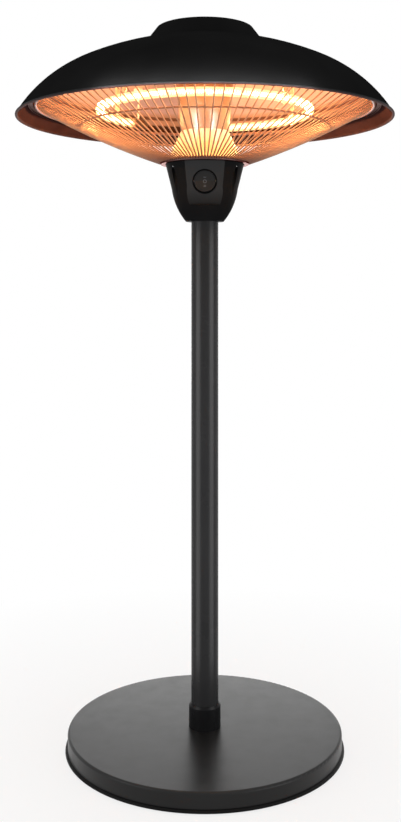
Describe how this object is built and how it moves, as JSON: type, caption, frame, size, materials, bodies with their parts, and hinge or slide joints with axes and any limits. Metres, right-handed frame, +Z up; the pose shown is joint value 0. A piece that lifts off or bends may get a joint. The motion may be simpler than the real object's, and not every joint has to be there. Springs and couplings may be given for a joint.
{
  "type": "standing heater",
  "caption": "Electric radiant heater on a pole with a weighted round base, a wire guard under a wide parasol dome and a rocker switch in the cup below.",
  "frame": {"origin": "centre of the base on the floor, on the pole's axis", "axes": "+Z up the pole, -Y out of the front panel with the switch, +X to the right of someone facing the switch"},
  "size_m": [0.484, 0.484, 0.9265],
  "materials": {
    "satin_black_paint": "satin",
    "matte_black_paint": "matte",
    "gloss_black_plastic": "gloss",
    "black_plastic": "matte",
    "concrete": "rough",
    "galvanised_steel": "satin",
    "rubber": "matte",
    "cast_aluminium": "satin",
    "polished_aluminium": "polished",
    "guard_chrome": "polished",
    "spring_steel": "satin",
    "quartz": "clear",
    "glowing_coil": "glowing",
    "white_ceramic": "matte",
    "glass_fibre_sleeve": "woven",
    "brass": "satin"
  },
  "bodies": {
    "heater": {"ballast": "concrete", "base_cover": "satin_black_paint", "base_plate": "galvanised_steel", "bolt_nut": "galvanised_steel", "bolt_washer": "galvanised_steel", "cap_nut": "galvanised_steel", "cap_stud": "galvanised_steel", "center_cone": "polished_aluminium", "center_tube": "polished_aluminium", "collar_grub_screw": "galvanised_steel", "column_rivets": "galvanised_steel", "cord_grommet": "rubber", "cup_screws": "galvanised_steel", "dome": "matte_black_paint", "dome_standoffs": "galvanised_steel", "feet": "rubber", "flange_grub_screws": "galvanised_steel", "flange_screws": "galvanised_steel", "foot_screws": "galvanised_steel", "guard_clips": "guard_chrome", "guard_hub": "guard_chrome", "guard_mid_ring": "guard_chrome", "guard_outer_ring": "guard_chrome", "guard_wires": "guard_chrome", "hanger_rivets": "galvanised_steel", "heating_coil": "glowing_coil", "hollow_bolt": "galvanised_steel", "housing_cup": "gloss_black_plastic", "lamp_clips": "spring_steel", "lamp_end_caps": "white_ceramic", "lamp_hangers": "spring_steel", "lamp_leads": "glass_fibre_sleeve", "lead_bushes": "white_ceramic", "pole": "satin_black_paint", "pole_collar": "satin_black_paint", "pole_flange": "cast_aluminium", "reflector": "polished_aluminium", "ring_lamp": "quartz", "rocker_pin": "galvanised_steel", "standoff_screws": "galvanised_steel", "switch_bezel": "black_plastic", "switch_body": "black_plastic", "switch_tabs": "brass", "terminal_block": "white_ceramic", "tip_pin": "galvanised_steel", "tip_switch_body": "black_plastic", "top_cap": "matte_black_paint"},
    "rocker": {"switch_rocker": "black_plastic"},
    "pendulum": {"tip_pendulum": "galvanised_steel"}
  },
  "joints": [
    {"name": "rocker_tilt", "type": "hinge", "parent": "heater", "child": "rocker", "pos_m": [0, -0.03593, 0.72556], "axis": [1, 0, 0], "range_deg": [0, 24]},
    {"name": "pendulum_swing", "type": "hinge", "parent": "heater", "child": "pendulum", "pos_m": [0.02815, 0, 0.7345], "axis": [1, 0, 0], "range_deg": [-20, 20]}
  ]
}
